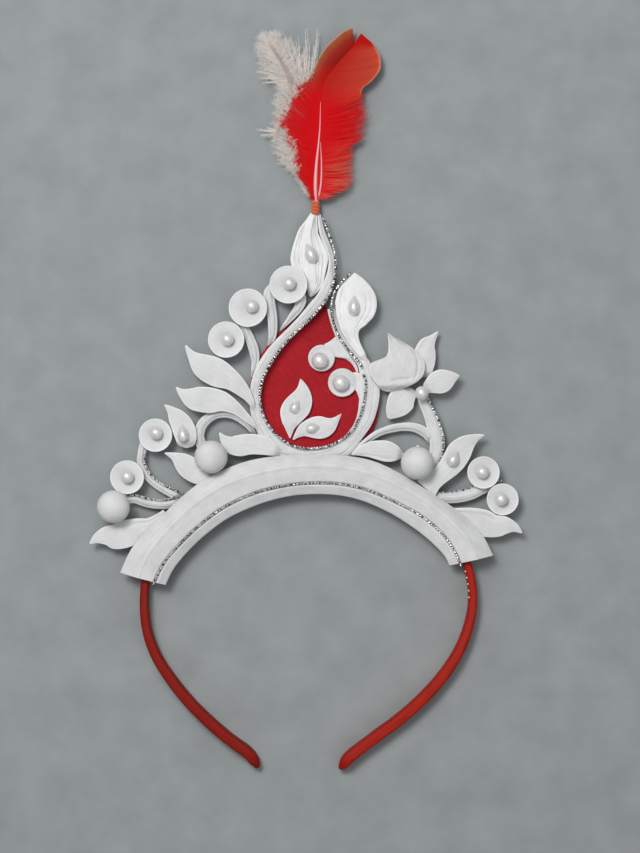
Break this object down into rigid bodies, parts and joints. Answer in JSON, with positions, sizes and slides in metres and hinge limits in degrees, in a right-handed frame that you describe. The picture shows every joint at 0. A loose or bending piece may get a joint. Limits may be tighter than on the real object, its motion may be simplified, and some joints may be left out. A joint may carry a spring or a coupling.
{
  "type": "sola pith crown headband",
  "caption": "Carved white sola pith crown with pearls, silver cord, a red felt drop and a feather plume, glued to a red cloth-covered Alice band.",
  "frame": {"origin": "on the surface that it lies on, between the arms' plane of symmetry and 30 mm above the top of the band, at the back of the felt drop", "axes": "+Z out of the crown's front, +Y towards the plume, -Y towards the tips of the band"},
  "size_m": [0.1741, 0.2988, 0.0194],
  "materials": {
    "pith": "matt white sola pith",
    "felt": "red felt",
    "satin": "red satin cloth drawn over a plastic band",
    "pearl": "white imitation pearl",
    "silver": "metallised silver cord",
    "thread": "orange thread",
    "red_feather": "dyed red feather",
    "white_feather": "white down feather"
  },
  "bodies": {
    "root": {"headband": "satin", "base_cord": "silver", "drop_cord": "silver", "side_cord": "silver", "red_panel": "felt", "plume_binding": "thread", "red_feather": "red_feather", "white_feather": "white_feather", "pearl_1": "pearl", "pearl_2": "pearl", "pearl_3": "pearl", "pearl_4": "pearl", "pearl_5": "pearl", "pearl_6": "pearl", "pearl_7": "pearl", "drop_pearl_1": "pearl", "drop_pearl_2": "pearl", "drop_pearl_3": "pearl", "drop_pearl_4": "pearl", "flower_pearl": "pearl", "base_strip": "pith", "drop_frame_left": "pith", "drop_frame_right": "pith", "disc_stem_1": "pith", "disc_stem_2": "pith", "disc_stem_3": "pith", "left_arch": "pith", "left_stems": "pith", "right_branch": "pith", "right_stem": "pith", "top_leaf": "pith", "side_leaf": "pith", "leaf_left_1": "pith", "leaf_left_2": "pith", "leaf_left_3": "pith", "leaf_left_4": "pith", "leaf_left_5": "pith", "leaf_left_6": "pith", "leaf_right_1": "pith", "leaf_right_2": "pith", "leaf_right_3": "pith", "petal_1": "pith", "petal_2": "pith", "petal_3": "pith", "petal_4": "pith", "felt_leaf_1": "pith", "felt_leaf_2": "pith", "scroll_upper": "pith", "scroll_lower": "pith", "disc_1": "pith", "disc_2": "pith", "disc_3": "pith", "disc_4": "pith", "disc_5": "pith", "disc_6": "pith", "disc_7": "pith", "ball_1": "pith", "ball_2": "pith", "ball_3": "pith"}
  },
  "joints": []
}
